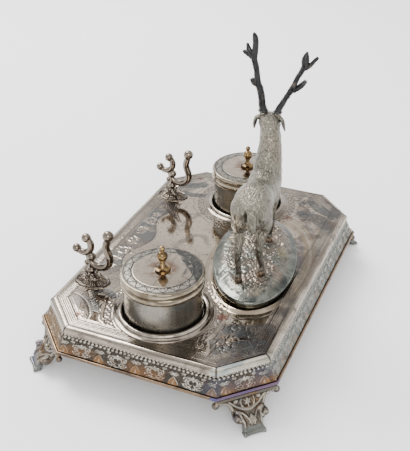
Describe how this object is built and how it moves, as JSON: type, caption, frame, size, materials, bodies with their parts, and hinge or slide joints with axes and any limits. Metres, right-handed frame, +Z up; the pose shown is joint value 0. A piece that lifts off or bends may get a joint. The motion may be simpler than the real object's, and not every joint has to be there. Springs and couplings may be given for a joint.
{
  "type": "desk inkstand",
  "caption": "Footed eight-sided tray carrying lift-out inkwells with glass liners and lids, scroll pen rests and a cast stag figure on an oval ground.",
  "frame": {"origin": "floor level under the middle of the tray", "axes": "+X along the tray, -Y towards the pen rests, +Y towards the stag, +Z up"},
  "size_m": [0.281, 0.1922, 0.2257],
  "materials": {
    "silver_plate": "engraved and tarnished silver plate",
    "gallery_plate": "embossed silver plate, worn to copper on the high spots",
    "edge_plate": "polished silver plate",
    "worn_copper": "silver plate worn through to copper",
    "foot_plate": "cast and plated, dark in the hollows",
    "pot_plate": "plain plated sheet, dull",
    "worn_gold": "polished moulding with a warm worn tone",
    "lid_plate": "polished plate with an engraved border",
    "finial_gold": "polished, worn to gold",
    "rest_plate": "polished cast metal, dark in the hollows",
    "ground_dark": "dark tarnished plate",
    "stag_plate": "cast and chased with fur strokes",
    "antler_dark": "dark oxidised casting",
    "clear_glass": "clear",
    "brass_nut": "turned"
  },
  "bodies": {
    "tray": {"top_plate": "silver_plate", "edge_front": "edge_plate", "edge_back": "edge_plate", "edge_left": "edge_plate", "edge_right": "edge_plate", "edge_corners": "edge_plate", "bead_sides": "edge_plate", "bead_corners": "edge_plate", "gallery_front": "gallery_plate", "gallery_back": "gallery_plate", "gallery_left": "gallery_plate", "gallery_right": "gallery_plate", "gallery_corners": "gallery_plate", "rim_sides": "worn_copper", "rim_corners": "worn_copper", "foot_front_left": "foot_plate", "foot_front_right": "foot_plate", "foot_back_left": "foot_plate", "foot_back_right": "foot_plate", "collar_left": "edge_plate", "collar_right": "edge_plate", "pan_left": "pot_plate", "pan_right": "pot_plate", "rosette_left": "rest_plate", "rosette_right": "rest_plate", "pen_scroll_left": "rest_plate", "pen_scroll_right": "rest_plate", "rest_nuts": "brass_nut", "ground": "ground_dark", "ground_nuts": "brass_nut", "stag": "stag_plate", "antler_left": "antler_dark", "antler_right": "antler_dark"},
    "pot_left": {"pot_left": "pot_plate", "bezel_left": "worn_gold"},
    "liner_left": {"liner_left": "clear_glass"},
    "lid_left": {"lid_left": "lid_plate", "lid_band_left": "worn_gold", "finial_left": "finial_gold", "finial_nut_left": "brass_nut"},
    "pot_right": {"pot_right": "pot_plate", "bezel_right": "worn_gold"},
    "liner_right": {"liner_right": "clear_glass"},
    "lid_right": {"lid_right": "lid_plate", "lid_band_right": "worn_gold", "finial_right": "finial_gold", "finial_nut_right": "brass_nut"}
  },
  "joints": [
    {"name": "pot_left_lift", "type": "slide", "parent": "tray", "child": "pot_left", "axis": [0, 0, 1], "range_m": [0, 0.06]},
    {"name": "liner_left_lift", "type": "slide", "parent": "pot_left", "child": "liner_left", "axis": [0, 0, 1], "range_m": [0, 0.045]},
    {"name": "lid_left_lift", "type": "slide", "parent": "liner_left", "child": "lid_left", "axis": [0, 0, 1], "range_m": [0, 0.03]},
    {"name": "pot_right_lift", "type": "slide", "parent": "tray", "child": "pot_right", "axis": [0, 0, 1], "range_m": [0, 0.06]},
    {"name": "liner_right_lift", "type": "slide", "parent": "pot_right", "child": "liner_right", "axis": [0, 0, 1], "range_m": [0, 0.045]},
    {"name": "lid_right_lift", "type": "slide", "parent": "liner_right", "child": "lid_right", "axis": [0, 0, 1], "range_m": [0, 0.03]}
  ]
}
